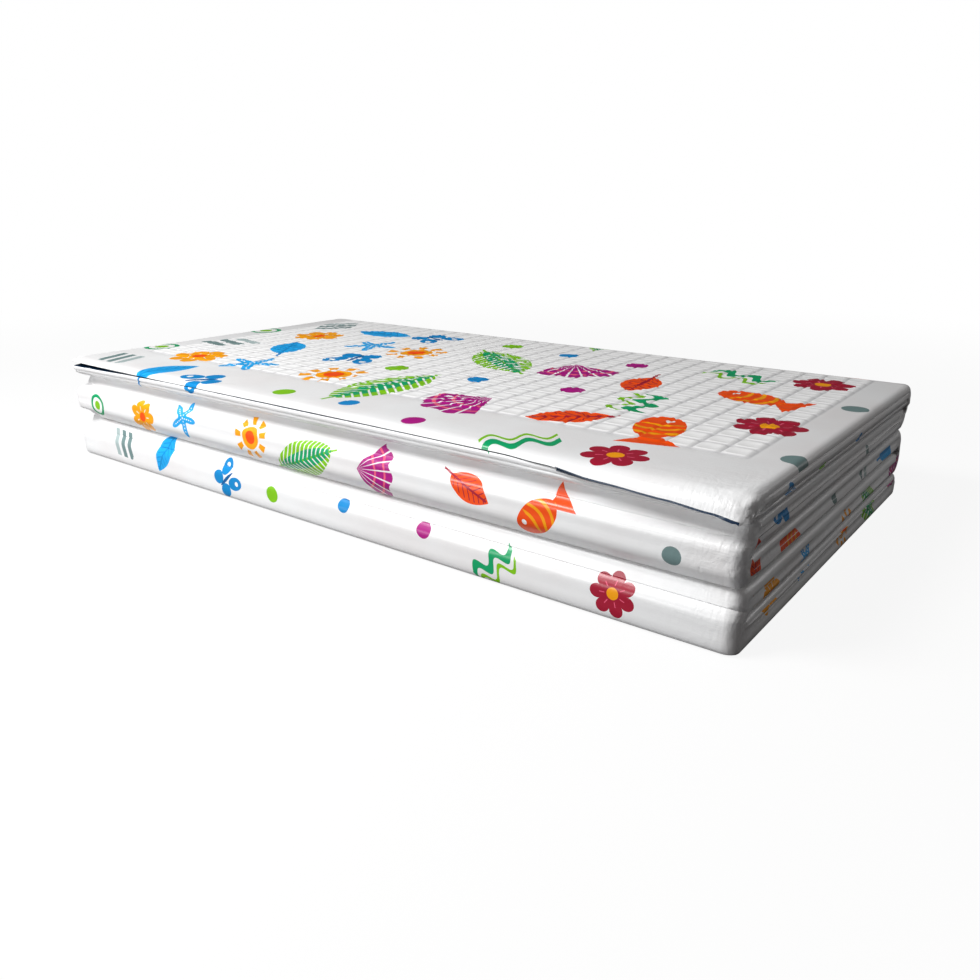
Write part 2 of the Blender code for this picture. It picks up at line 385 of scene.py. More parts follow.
def named_runs(along, from_end):
    """The section's outline in order, as named runs of (y, z) points that make one closed ring."""
    fold_pull = drawn_in(FOLD_CORNER_RADIUS, from_end)
    edge_pull = drawn_in(EDGE_CORNER_RADIUS, from_end)
    heights = surface_heights(from_end)
    folds = {name: fold_points(name, heights, fold_pull, along) for name in FOLDS}
    gaps = [gap_end(layer, heights, layer % 2 == 0, fold_pull) for layer in range(PANEL_COUNT - 1)]
    low, high = heights[TOP_PANEL]
    seam = seam_edge(along, low, high, edge_pull)
    crown = crown_points(along, low, high, edge_pull)
    base, base_top = heights[0]
    back_edge = [(PANEL_DEPTH - depth - edge_pull, base + rise * (base_top - base))
                 for rise, depth in BACK_EDGE]
    front_border = flat_run(crown[-1][0], FIRST_ROW, high, BORDER_POINTS)
    back_border = flat_run(FIRST_ROW + PAD_ROWS * PAD_PITCH, folds["upper back fold"][-1][0], high, 0)

    def inner(before, after):
        return flat_run(before[-1][0], after[0][0], before[-1][1], INNER_POINTS)

    lower_back = folds["lower back fold"][::-1]
    upper_back = folds["upper back fold"][::-1]
    return (
        ("lower front fold", folds["lower front fold"]),
        ("top of panel 1", inner(folds["lower front fold"], gaps[1])),
        ("gap 1", gaps[1]),
        ("underside of panel 2", inner(gaps[1], folds["upper front fold"])),
        ("upper front fold", folds["upper front fold"]),
        ("top of panel 3", inner(folds["upper front fold"], gaps[3])),
        ("gap 3", gaps[3]),
        ("underside of panel 4", inner(gaps[3], seam)),
        ("seam", seam),
        ("crown", crown),
        ("front border", front_border),
        ("pads", [(y, high) for y in pad_lines(FIRST_ROW, PAD_ROWS)]),
        ("back border", back_border),
        ("upper back fold", upper_back),
        ("underside of panel 3", inner(upper_back, gaps[2][::-1])),
        ("gap 2", gaps[2][::-1]),
        ("top of panel 2", inner(gaps[2][::-1], lower_back)),
        ("lower back fold", lower_back),
        ("underside of panel 1", inner(lower_back, gaps[0][::-1])),
        ("gap 0", gaps[0][::-1]),
        ("top of panel 0", inner(gaps[0][::-1], back_edge[::-1])),
        ("back edge", back_edge[::-1]),
        ("base", flat_run(back_edge[0][0], folds["lower front fold"][0][0], base, BASE_POINTS)),
    )


RUNS = {}
for run_name, run_points in named_runs(0.5, 1.0):
    run_start = max((run.stop for run in RUNS.values()), default=0)
    RUNS[run_name] = range(run_start, run_start + len(run_points))
RING_COUNT = RUNS["base"].stop


def layer_crossings():
    """The ring's index where the outline passes from one panel to the next, in ring order."""
    def nearest(name):
        rises = [abs(rise) for rise, _ in FOLDS[name][0]]
        step = rises.index(min(rises))
        return RUNS[name][step] if FOLDS[name][2] else RUNS[name][-1 - step]

    return [
        nearest("lower front fold"),
        RUNS["gap 1"][1],
        nearest("upper front fold"),
        RUNS["gap 3"][1],
        nearest("upper back fold"),
        RUNS["gap 2"][1],
        nearest("lower back fold"),
        RUNS["gap 0"][1],
    ]


def panel_loops():
    """The ring's indices round each panel's own end, from the bottom panel to the top one."""
    cross = layer_crossings()
    bounds = [0] + cross + [RING_COUNT - 1]
    loops = []
    for layer in range(TOP_PANEL):
        up = range(bounds[layer], bounds[layer + 1] + 1)
        down = range(bounds[-2 - layer], bounds[-1 - layer] + 1)
        loops.append([*up, *down])
    loops.append([*range(bounds[TOP_PANEL], bounds[TOP_PANEL + 1] + 1)])
    return loops


def slide_at(height):
    """How far the layer at this height has slid along the folds, blended close to each contact."""
    contact = min(max(round(height / PANEL_THICKNESS), 1), PANEL_COUNT - 1)
    beyond = height / PANEL_THICKNESS - contact
    share = min(max(0.5 + beyond / (2 * SLIDE_BLEND), 0.0), 1.0)
    return PANELS[contact - 1][2] * (1 - share) + PANELS[contact][2] * share


def stations():
    """Each section's place along the panel, its distance from the nearer end, and its turn there."""
    turns = [math.radians(angle) for angle in CORNER_ANGLES]
    ends = [(FOLD_CORNER_RADIUS * (1 - math.cos(turn)), turn) for turn in turns]
    last_column = FIRST_COLUMN + PAD_COLUMNS * PAD_PITCH
    inner_end = PANEL_LENGTH - FOLD_CORNER_RADIUS
    middle = steps(FOLD_CORNER_RADIUS, FIRST_COLUMN, 3) + pad_lines(FIRST_COLUMN, PAD_COLUMNS)
    middle += [last_column + PAD_SLOPE] + steps(last_column, inner_end, 3)
    places = [(depth, depth, turn) for depth, turn in ends]
    places += [(place, FOLD_CORNER_RADIUS, math.pi / 2) for place in middle]
    places += [(PANEL_LENGTH - depth, depth, turn) for depth, turn in reversed(ends)]
    return places


# The mat's skin.

def run_mask(*words):
    """Which of the ring's points lie in runs whose names start with one of these words."""
    mask = np.zeros(RING_COUNT, bool)
    for name, run in RUNS.items():
        if name.startswith(words):
            mask[run.start:run.stop] = True
    return mask


HIDDEN = run_mask("top of panel", "underside of panel")
SHOWN_IN_GAPS = 7            # away from the ends, one in this many of the hidden points is kept
KEPT = [index for index in range(RING_COUNT) if not HIDDEN[index] or index % SHOWN_IN_GAPS == 0]
UPRIGHT = ("lower front", "upper front", "lower back", "upper back", "seam", "back edge")
WALL = run_mask(*UPRIGHT).astype(float)


def end_relief(layer, share):
    """How far a panel's end stands out at a share of the panel's height."""
    return np.interp(share, [row[0] for row in END_RELIEF], [row[layer + 1] for row in END_RELIEF])


class Skin:
    """The film's points and faces, with each point's place on the unrolled film."""

    def __init__(self):
        self.points = []
        self.along = []
        self.ring = []
        self.on_end = []
        self.faces = []
        outline = self.outline(0.5, 1.0)
        closed = np.vstack((outline, outline[:1]))
        lengths = np.linalg.norm(np.diff(closed, axis=0), axis=1)
        self.across = np.concatenate(([0.0], np.cumsum(lengths)))
        rings = [self.add_station(*row) for row in stations()]
        for ring, following in zip(rings, rings[1:]):
            self.join(ring, following)
        for loop_layer, loop in enumerate(panel_loops()):
            self.close_end(rings[0], loop, loop_layer, -1)
            self.close_end(rings[-1], loop, loop_layer, 1)

    @staticmethod
    def outline(along, from_end):
        return np.array([point for _, points in named_runs(along, from_end) for point in points])

    def add_point(self, point, along, ring_index, on_end):
        self.points.append(point)
        self.along.append(along)
        self.ring.append(ring_index)
        self.on_end.append(on_end)
        return len(self.points) - 1

    def add_station(self, place, from_end, turn):
        """One section's points, as a dictionary from ring index to point number."""
        outline = self.outline(min(max(place / PANEL_LENGTH, 0.0), 1.0), from_end)
        side = -1 if place < PANEL_LENGTH / 2 else 1
        corner = PANEL_LENGTH / 2 - FOLD_CORNER_RADIUS
        beyond = FOLD_CORNER_RADIUS * (math.pi / 2 - turn)
        numbers = {}
        for index in range(RING_COUNT) if from_end < FOLD_CORNER_RADIUS else KEPT:
            y, z = outline[index]
            flat = FOLD_CORNER_RADIUS - from_end
            past_corner = flat + (beyond - flat) * WALL[index]
            along = place
            if from_end < FOLD_CORNER_RADIUS:
                along = PANEL_LENGTH / 2 + side * (corner + past_corner)
            numbers[index] = self.add_point((place + slide_at(z), y, z), along, index, 0.0)
        return numbers

    def join(self, ring, following):
        """Faces between two sections, which may differ in how many of the hidden points they have."""
        both = sorted(set(ring) & set(following))
        for a, b in zip(both, both[1:] + [both[0] + RING_COUNT]):
            span = [index % RING_COUNT for index in range(a, b + 1)]
            left = [ring[index] for index in span if index in ring]
            right = [following[index] for index in span if index in following]
            self.faces.append(left[:1] + right + left[:0:-1])

    def close_end(self, ring, loop, layer, side):
        """Closes one panel's end with loops that draw together to a flat seam at its middle height."""
        outer = [ring[index] for index in loop]
        bottom = layer * PANEL_THICKNESS
        middle = bottom + PANEL_THICKNESS / 2
        starts = [self.points[number] for number in outer]
        depths = [y for _, y, _ in starts]
        centre = (min(depths) + max(depths)) / 2
        reach = (max(depths) - min(depths)) / 2
        for share in END_LOOPS:
            inner = []
            for index, (x, y, z) in zip(loop, starts):
                height = middle + (z - middle) * share
                depth = centre + (y - centre) * (1 - (1 - share) * PANEL_THICKNESS / 2 / reach)
                fade = min((reach - abs(depth - centre)) / END_FADE, 1.0)
                out = end_relief(layer, (height - bottom) / PANEL_THICKNESS) * fade
                along = self.along[ring[index]] + side * abs(z - height)
                inner.append(self.add_point((x + side * out, depth, height), along, index, 1.0))
            self.strip(outer, inner, side)
            outer = inner
        self.faces.append(outer if side < 0 else outer[::-1])

    def strip(self, outer, inner, side):
        for step in range(len(outer)):
            after = (step + 1) % len(outer)
            face = [outer[step], outer[after], inner[after], inner[step]]
            self.faces.append(face if side < 0 else face[::-1])


# Where the places on each end start, well beyond those of the film between the ends.
END_BANDS = {"right end": 2.0, "left end": 4.0}


def distances(skin, faces):
    """Each face corner's place on the unrolled film: along the folds, and across them.

    A panel's end has its depth and height instead, moved along to a band of its own.
    """
    length = skin.across[-1]
    places = []
    for face in faces:
        if max(skin.on_end[number] for number in face) > 0:
            right = skin.points[face[0]][0] > PANEL_LENGTH / 2
            start = END_BANDS["right end" if right else "left end"]
            places += [(start + skin.points[number][1], skin.points[number][2]) for number in face]
            continue
        across = [skin.across[skin.ring[number]] for number in face]
        if max(across) - min(across) > length / 2:
            across = [value + length if value < length / 2 else value for value in across]
        places += [(skin.along[number], value) for number, value in zip(face, across)]
    return np.array(places, np.float32)


def soft_noise(place, scale, seed):
    """Noise between -1 and 1, stretched by a scale along each axis."""
    along, across, up = (value * factor for value, factor in zip(place, scale))
    return noise.noise(Vector((along + seed, across, up)))


# Soft wrinkles in the film: how many there are per metre along and across, and their height.
WRINKLES = (
    # along, across, height, seed
    (4.0, 60.0, 0.00045, 3.1),
    (30.0, 40.0, 0.00026, 11.7),
    (70.0, 110.0, 0.00014, 23.9),
)
TOP_SWELL = 0.0007           # slow rise and fall of the top
TOP_SWELL_SCALE = (3.2, 5.5, 0.0)
# Where the film is gathered at a panel's corner: its folds fan out from a point.
GATHERS = (
    # x, y, z, reach, folds, height
    (1.056, 0.002, 0.134, 0.065, 11, 0.0011),
    (1.056, 0.004, 0.091, 0.050, 9, 0.0004),
    (1.056, 0.004, 0.032, 0.050, 8, 0.0004),
    (0.004, 0.002, 0.140, 0.050, 8, 0.0007),
    (0.004, 0.004, 0.080, 0.050, 7, 0.0004),
    (0.004, 0.004, 0.030, 0.050, 7, 0.0004),
    (1.056, 0.561, 0.120, 0.050, 8, 0.0006),
    (0.004, 0.561, 0.120, 0.050, 8, 0.0006),
    (1.056, 0.561, 0.060, 0.050, 7, 0.0004),
    (0.004, 0.561, 0.060, 0.050, 7, 0.0004),
)
# Creases pressed into the top border: a soft trough between two places.
CREASES = (
    # start_x, start_y, end_x, end_y, width, depth
    (0.300, 0.012, 0.352, 0.060, 0.006, 0.0011),
    (0.335, 0.020, 0.372, 0.052, 0.004, 0.0006),
    (0.905, 0.030, 0.930, 0.082, 0.005, 0.0006),
    (1.020, 0.090, 1.050, 0.140, 0.005, 0.0006),
)

# How loosely the film lies, from 0 to 1, by the run of the ring.
LOOSENESS = (
    # runs, looseness
    (("crown",), 0.22),
    (("front border", "back border"), 0.12),
    (("pads",), 0.06),
    (("seam", "back edge"), 0.30),
    (("lower front", "upper front", "lower back", "upper back"), 0.16),
    (("base",), 0.10),
)
END_LOOSENESS = 0.40
CORNER_LOOSENESS = 700.0     # for each metre of a gathered corner's height


def looseness(skin):
    """How loosely the film lies at each point, most at the gathered corners and none inside."""
    by_run = np.zeros(RING_COUNT)
    for runs, amount in LOOSENESS:
        by_run[run_mask(*runs)] = amount
    ring = np.array(skin.ring)
    loose = np.where(np.array(skin.on_end) > 0, END_LOOSENESS, by_run[ring])
    points = np.array(skin.points)
    for x, y, z, reach, _, height in GATHERS:
        apart = np.linalg.norm(points - (x, y, z), axis=1) / reach
        loose += CORNER_LOOSENESS * height * np.exp(-(apart ** 2)) * (loose > 0)
    return np.minimum(loose, 1.0)


def gather_height(point, x, y, z, reach, folds, height):
    """The height of the folds that fan out from a gathered corner."""
    apart = point - Vector((x, y, z))
    if apart.length > reach:
        return 0.0
    fade = (1 - apart.length / reach) ** 1.5
    fan = math.atan2(apart.z + 0.3 * apart.y, apart.x - 0.6 * apart.y)
    sway = 1.3 * noise.noise(apart * 40.0)
    return height * fade * math.sin(fan * folds + 3.0 * sway)


def crease_depth(point, start_x, start_y, end_x, end_y, width, depth):
    """The depth of a crease here, which is deepest halfway along it."""
    start = Vector((start_x, start_y))
    run = Vector((end_x, end_y)) - start
    apart = Vector((point.x, point.y)) - start
    share = min(max(apart.dot(run) / run.length_squared, 0.0), 1.0)
    distance = (apart - run * share).length
    return depth * math.exp(-(distance / width) ** 2) * math.sin(math.pi * (0.15 + 0.7 * share))


def soften(mesh, skin, loose):
    """Moves the skin's points by its wrinkles, gathers, creases and the slow swell of its top."""
    top = run_mask("crown", "front border", "pads", "back border")
    normals = [normal.vector.copy() for normal in mesh.vertex_normals]
    moved = []
    for position, normal, along, ring_index, looseness_here, on_end in zip(
            skin.points, normals, skin.along, skin.ring, loose, skin.on_end):
        point = Vector(position)
        moved.append(point)
        if looseness_here == 0.0:
            continue
        place = (along, skin.across[ring_index], 0.0)
        lift = sum(height * soft_noise(place, (per_along, per_across, 0.0), seed)
                   for per_along, per_across, height, seed in WRINKLES) * looseness_here
        lift += sum(gather_height(point, *row) for row in GATHERS) * looseness_here
        if top[ring_index] and not on_end:
            lift += TOP_SWELL * soft_noise(point, TOP_SWELL_SCALE, 0.0)
            lift -= sum(crease_depth(point, *row) for row in CREASES)
        moved[-1] = point + normal * lift
    mesh.vertices.foreach_set("co", stand_in_frame(moved).ravel())
    mesh.update()


def stand_in_frame(points):
    """Moves the section's coordinates into the frame, and rests the lowest points on its floor."""
    placed = np.array(points, np.float32) + np.array(SECTION_START, np.float32)
    placed[:, 2] = np.maximum(placed[:, 2], MAT_LOW.z)
    return placed


def store(mesh, name, kind, domain, values):
    """Keeps values on the mesh as an attribute of its own."""
    field = "value" if kind == "FLOAT" else "vector"
    flat = np.asarray(values, np.float32).ravel()
    mesh.attributes.new(name, kind, domain).data.foreach_set(field, flat)


def skin_mesh():
    """The film's mesh before its pads are pressed, its skin, and the face corners' places on it."""
    skin = Skin()
    mesh = bpy.data.meshes.new("mat_film")
    mesh.from_pydata(skin.points, [], skin.faces)
    mesh.validate()
    loose = looseness(skin)
    soften(mesh, skin, loose)
    unrolled = mesh.uv_layers.new(name="unrolled")
    places = distances(skin, skin.faces)
    unrolled.uv.foreach_set("vector", places.ravel())
    store(mesh, "loose", "FLOAT", "POINT", loose)
    ground = run_mask("pads")[np.array(skin.ring)] * (1.0 - np.array(skin.on_end))
    store(mesh, "pad_ground", "FLOAT", "POINT", ground)
    mesh.shade_smooth()
    return mesh, skin, places


# Node trees.

class Field:
    """A number that varies over the film. Arithmetic on it adds math nodes to its tree.

    A mask is a field of zeros and ones, and the signs for and, or and not join masks.
    """

    def __init__(self, tree, socket):
        self.tree = tree
        self.socket = socket

    def math(self, operation, *others):
        made = self.tree.nodes.new("ShaderNodeMath")
        made.operation = operation
        for slot, value in zip(made.inputs, (self, *others)):
            if isinstance(value, Field):
                self.tree.links.new(value.socket, slot)
            else:
                slot.default_value = value
        return Field(self.tree, made.outputs[0])

    def __add__(self, other):
        return self.math("ADD", other)

    def __sub__(self, other):
        return self.math("SUBTRACT", other)

    def __mul__(self, other):
        return self.math("MULTIPLY", other)

    def __truediv__(self, other):
        return self.math("DIVIDE", other)

    def __pow__(self, other):
        return self.math("POWER", other)

    def __neg__(self):
        return self.math("MULTIPLY", -1.0)

    def __abs__(self):
        return self.math("ABSOLUTE")

    def __and__(self, other):
        return self.math("MULTIPLY", other)

    def __or__(self, other):
        return self.math("MAXIMUM", other)

    def __invert__(self):
        return (self * -1.0) + 1.0

    def below(self, limit):
        return self.math("LESS_THAN", limit)

    def above(self, limit):
        return self.math("GREATER_THAN", limit)

    def sine(self):
        return self.math("SINE")

    def cosine(self):
        return self.math("COSINE")

    def from_stripe(self):
        """Distance to the nearest whole number, from 0 to 0.5."""
        return abs(self.math("ADD", 0.5).math("FRACT") - 0.5)

    def blend(self, other, share):
        return self + (other - self) * share

    def step(self, low, high):
        """Rises smoothly from 0 at the low limit to 1 at the high one."""
        share = ((self - low) / (high - low)).math("MAXIMUM", 0.0).math("MINIMUM", 1.0)
        return share * share * (-(share * 2.0) + 3.0)


def set_inputs(tree, node, inputs):
    """Fills a node's inputs. Each is a field, another node's socket or a fixed value."""
    for name, value in inputs.items():
        if isinstance(value, Field):
            value = value.socket
        if isinstance(value, bpy.types.NodeSocket):
            tree.links.new(value, node.inputs[name])
        else:
            node.inputs[name].default_value = value


def add_node(tree, kind, inputs=None, **settings):
    """A new node with its settings and inputs, as its first output."""
    node = tree.nodes.new(kind)
    for name, value in settings.items():
        setattr(node, name, value)
    set_inputs(tree, node, inputs or {})
    return node.outputs[0] if node.outputs else None


def split(tree, socket):
    """The three numbers of a place or a colour, as fields."""
    node = tree.nodes.new("ShaderNodeSeparateXYZ")
    tree.links.new(socket, node.inputs[0])
    return [Field(tree, output) for output in node.outputs]


# What the node tree that presses the pads is given.
PAD_SIZES = {
    "Pitch": PAD_PITCH,
    "Columns": float(PAD_COLUMNS),
    "Rows": float(PAD_ROWS),
    "First Column": SECTION_START.x + FIRST_COLUMN,
    "First Row": SECTION_START.y + FIRST_ROW,
    "Slope": PAD_SLOPE,
    "Corner": PAD_CORNER,
    "Rim End": PAD_RIM_END,
    "Face Start": PAD_FACE_START,
    "Height": PAD_HEIGHT,
    "Sink": PAD_SINK,
    "Dish": PAD_DISH,
}
PAD_MARGIN = 0.01            # in pitches, by which the field of pads reaches past its outer lines


def pad_tree():
    """A geometry node tree that presses rows of rounded square pads into the mat's top."""
    tree = bpy.data.node_groups.new("pressed pads", "GeometryNodeTree")
    tree.interface.new_socket("Geometry", in_out="INPUT", socket_type="NodeSocketGeometry")
    for name in PAD_SIZES:
        tree.interface.new_socket(name, in_out="INPUT", socket_type="NodeSocketFloat")
    tree.interface.new_socket("Film", in_out="INPUT", socket_type="NodeSocketMaterial")
    tree.interface.new_socket("Geometry", in_out="OUTPUT", socket_type="NodeSocketGeometry")
    given = tree.nodes.new("NodeGroupInput")

    def size(name):
        return Field(tree, given.outputs[name])

    place = split(tree, add_node(tree, "GeometryNodeInputPosition"))
    ground = tree.nodes.new("GeometryNodeInputNamedAttribute")
    ground.inputs["Name"].default_value = "pad_ground"
    axes = []
    for axis, first, count in ((0, "First Column", "Columns"), (1, "First Row", "Rows")):
        line = (place[axis] - size(first)) / size("Pitch")
        apart = line.from_stripe() * size("Pitch")
        short = -(apart / size("Corner")).math("MINIMUM", 1.0) + 1.0
        face = apart.step(size("Rim End"), size("Face Start"))
        inside = line.above(-PAD_MARGIN) & (line - size(count)).below(PAD_MARGIN)
        axes.append((short, face, inside))
    (short_x, face_x, inside_x), (short_y, face_y, inside_y) = axes
    round_off = (short_x * short_x + short_y * short_y) ** 0.5
    pads = (-round_off + 1.0) * size("Corner") / size("Slope")
    pads = pads.math("MINIMUM", 1.0).math("MAXIMUM", 0.0)
    faces = face_x * face_y
    inside = inside_x & inside_y & Field(tree, ground.outputs["Attribute"])
    lift = (pads * (size("Height") + size("Sink")) - size("Sink") - faces * size("Dish")) * inside
    shape = given.outputs["Geometry"]
    # These marks carry painted light: painted shade in the valleys, and painted sheen on the pads'
    # faces.
    for name, mark in (("pad_valley_painted_shade", (-pads + 1.0) * inside), ("pad_face_painted_sheen", pads * inside)):
        shape = add_node(tree, "GeometryNodeStoreNamedAttribute",
                         {"Geometry": shape, "Name": name, "Value": mark},
                         data_type="FLOAT", domain="POINT")
    offset = add_node(tree, "ShaderNodeCombineXYZ", {"Z": lift})
    shape = add_node(tree, "GeometryNodeSetPosition", {"Geometry": shape, "Offset": offset})
    shape = add_node(tree, "GeometryNodeRealizeInstances", {"Geometry": shape})
    shape = add_node(tree, "GeometryNodeSetMaterial",
                     {"Geometry": shape, "Material": given.outputs["Film"]})
    add_node(tree, "NodeGroupOutput", {"Geometry": shape})
    return tree


SHARP_ANGLE = 55             # in degrees, from which an edge of the film shows as a crease


def press_pads(mat, film):
    """Presses the pads with the node tree, and keeps the result as a plain mesh."""
    tree = pad_tree()
    pressing = mat.modifiers.new("pressed pads", "NODES")
    pressing.node_group = tree
    values = {**PAD_SIZES, "Film": film}
    for item in tree.interface.items_tree:
        if item.in_out == "INPUT" and item.name in values:
            pressing[item.identifier] = values[item.name]
    evaluated = mat.evaluated_get(bpy.context.evaluated_depsgraph_get())
    pressed = bpy.data.meshes.new_from_object(evaluated)
    mat.modifiers.remove(pressing)
    mat.data = pressed
    pressed.name = "mat_film"
    pressed.set_sharp_from_angle(angle=math.radians(SHARP_ANGLE))


# The print.

INKS = {
    "blue": "#0082C4",
    "sky blue": "#1AA0E2",
    "deep blue": "#065A96",
    "green": "#009A60",
    "lime": "#7CBE10",
    "orange": "#EC4C02",
    "amber": "#F09E00",
    "magenta": "#A6087C",
    "dark red": "#A01230",
    "rose": "#E05A78",
    "slate": "#6E8686",
    "pale slate": "#A2B2B2",
    "white": "#F0F0EE",
    # navy is painted shade, for the seam's slit and the film under its drooping lip
    "navy": "#0E2A44",
}
INK_NAMES = list(INKS)


def ink_colour(code):
    """A colour written as on the web, as the linear values that shaders use."""
    values = np.array([int(code[start:start + 2], 16) / 255 for start in (1, 3, 5)])
    linear = np.where(values <= 0.04045, values / 12.92, ((values + 0.055) / 1.055) ** 2.4)
    return (*linear.tolist(), 1.0)


# Each motif is drawn round its own middle, within about 1 of it. It gives up to three masks, one for
# each of its inks, and a later one is laid over those before it.

def spot(x, y, radius, angle):
    return (radius.below(1.0),)


def blossom(x, y, radius, angle):
    petals = (abs((angle * 3.5).cosine()) ** 0.6) * 0.36 + 0.62
    veins = (abs((angle * 3.5).sine()) * radius).below(0.07) & radius.above(0.34) & radius.below(0.56)
    return radius.below(petals), veins, radius.below(0.25)


def sea_star(x, y, radius, angle):
    arms = (((angle * 5.0).cosine() * 0.5 + 0.5) ** 1.7) * 0.66 + 0.33
    beads = (radius * 6.0).from_stripe().below(0.26) & (abs((angle * 2.5).sine()) * radius).below(0.06)
    return radius.below(arms), beads & radius.below(0.8)


def leaf(x, y, radius, angle):
    inside = -(x * x) + 1.0
    shape = (abs(y) - inside * 0.44).below(0.0)
    middle = abs(y).below(0.035) & x.below(0.9)
    ribs = ((x - abs(y) * 0.9) * 4.0).from_stripe().below(0.10)
    veins = ribs & (abs(y) - inside * 0.34).below(0.0)
    return shape, middle | veins


def frond(x, y, radius, angle):
    envelope = (((-(x * x) + 1.0).math("MAXIMUM", 0.0)) ** 0.7) * 0.36
    leaflets = ((x + abs(y) * 0.9) * 6.5).from_stripe().above(0.13)
    stem = abs(y).below(0.022) & abs(x).below(1.15)
    whole = (abs(y) - envelope).below(0.0) & leaflets
    return whole | stem, (abs(y) - envelope * 0.45).below(0.0) & leaflets


def fan(x, y, radius, angle):
    up = y + 0.8
    reach = ((x * x + up * up) ** 0.5) / 1.7
    spread = x.math("ARCTAN2", up)
    shape = (reach - (spread * 11.0).cosine() * 0.04).below(0.92) & abs(spread).below(0.95)
    ribs = (spread * 3.6 + 0.5).from_stripe().below(0.085)
    bands = (reach * 4.0).from_stripe().below(0.10) & reach.above(0.3)
    return shape & ~ribs, shape & ~ribs & bands


def fish(x, y, radius, angle):
    front = x + 0.18
    body = (front * front * 1.7 + y * y * 5.5).below(1.0)
    back = x - 0.42
    tail = back.above(0.0) & x.below(0.98) & (abs(y) - back * 0.85).below(0.05)
    stripes = body & ((x + y * y) * 3.2).from_stripe().below(0.16) & x.above(-0.42)
    eye = ((x + 0.62) * (x + 0.62) + (y - 0.1) * (y - 0.1)).below(0.006)
    return body | tail, stripes, eye


def bars(x, y, radius, angle):
    slant = x + y * 0.35
    shape = (slant * 1.5).from_stripe().below(0.29) & abs(y).below(0.8) & abs(slant).below(1.0)
    return shape, shape & slant.above(0.33)


def sun(x, y, radius, angle):
    rays = (angle * 9.0).cosine().above(0.1) & radius.above(0.60) & radius.below(0.95)
    return radius.below(0.50) | rays, radius.below(0.28)


def rings(x, y, radius, angle):
    return radius.below(0.85), radius.below(0.62), radius.below(0.34)


def wings(x, y, radius, angle):
    side = abs(x)
    high = side * 0.88 - y * 0.47
    across = side * 0.47 + y * 0.88
    upper = ((across - 0.55) * (across - 0.55) * 5.0 + (high - 0.25) * (high - 0.25) * 11.0).below(1.0)
    lower = ((side - 0.36) * (side - 0.36) * 10.0 + (y + 0.38) * (y + 0.38) * 9.0).below(1.0)
    eyes = ((across - 0.66) * (across - 0.66) + (high - 0.26) * (high - 0.26)).below(0.012)
    body = (x * x * 170.0 + y * y * 3.4).below(1.0)
    return upper | lower, eyes, body


def wave(x, y, radius, angle):
    line = y - (x * 7.0).sine() * 0.20
    inside = abs(x).below(1.0)
    return inside & abs(line).below(0.16), inside & abs(line - 0.44).below(0.08)


MOTIFS = (spot, blossom, sea_star, leaf, frond, fan, fish, bars, sun, rings, wings, wave)


def band_origins(skin):
    """Where each band's places start, and 1 where the ring runs up or back there, else -1."""
    cross = layer_crossings()
    origins = {
        "top": (RUNS["crown"][0], 1),
        "lower front": (cross[0], 1),
        "upper front": (cross[2], 1),
        "upper back": (cross[4], -1),
        "lower back": (cross[6], -1),
        "back edge": (RUNS["back edge"][-1], -1),
        "base": (RUNS["base"][-1], -1),
    }
    bands = {name: (0.0, skin.across[index], way) for name, (index, way) in origins.items()}
    bands.update({name: (start, 0.0, 1) for name, start in END_BANDS.items()})
    return bands


# The print is a generic scatter of common motifs, set out by rule: on staggered rows along each band,
# each place takes the design some steps on in this list. Size is half of a motif's width. Where fewer
# than three inks are named, the last one fills up the rest.
DESIGNS = (
    # motif, size, stretch, inks
    ("sun", 0.050, 1.0, "amber, orange"),
    ("leaf", 0.056, 1.1, "sky blue, blue"),
    ("rings", 0.032, 1.0, "green, white, lime"),
    ("fish", 0.058, 1.1, "orange, amber, white"),
    ("spot", 0.016, 1.0, "magenta"),
    ("frond", 0.086, 1.3, "lime, green"),
    ("wings", 0.048, 1.0, "blue, white, deep blue"),
    ("blossom", 0.044, 1.0, "amber, white, orange"),
    ("spot", 0.015, 1.0, "slate"),
    ("wave", 0.048, 1.1, "green, lime"),
    ("fan", 0.050, 1.1, "magenta, rose"),
    ("spot", 0.017, 1.0, "lime"),
    ("sea_star", 0.046, 1.0, "sky blue, white"),
    ("bars", 0.040, 1.0, "slate, pale slate"),
    ("blossom", 0.040, 1.0, "dark red, rose, amber"),
    ("leaf", 0.048, 1.2, "orange, dark red"),
    ("spot", 0.015, 1.0, "blue"),
)
DESIGN_START = 13
DESIGN_STEP = 5
# The rows of the print. Along is measured from the left end, and across from the band's origin: back
# from the top's front lip, and up from the middle of a fold. On an end, along is the depth behind the
# front folds and across the height.
PRINT_ROWS = (
    # band, across, first and last place along, spacing, scale
    ("top", 0.034, 0.070, 1.040, 0.122, 0.85),
    ("top", 0.136, 0.020, 1.050, 0.128, 1.00),
    ("top", 0.246, 0.082, 1.050, 0.128, 1.00),
    ("top", 0.356, 0.024, 1.050, 0.128, 1.00),
    ("top", 0.466, 0.086, 1.050, 0.128, 1.00),
    ("upper front", 0.000, 0.060, 1.030, 0.116, 0.62),
    ("lower front", 0.002, 0.116, 1.030, 0.116, 0.62),
    ("upper back", 0.000, 0.060, 1.000, 0.132, 0.62),
    ("lower back", 0.000, 0.120, 1.000, 0.132, 0.62),
    ("back edge", 0.014, 0.200, 0.900, 0.300, 0.25),
    ("right end", 0.030, 0.070, 0.540, 0.116, 0.50),
    ("right end", 0.078, 0.020, 0.550, 0.116, 0.50),
    ("right end", 0.124, 0.080, 0.540, 0.116, 0.50),
    ("left end", 0.030, 0.070, 0.540, 0.150, 0.50),
    ("left end", 0.100, 0.140, 0.540, 0.150, 0.50),
    ("base", 0.140, 0.160, 0.950, 0.200, 1.00),
    ("base", 0.400, 0.260, 0.950, 0.200, 1.00),
)
PRINT_SWAY = 0.014           # how far a motif lies off its row's even places
PRINT_TURN = 67              # in degrees, from each motif to the next


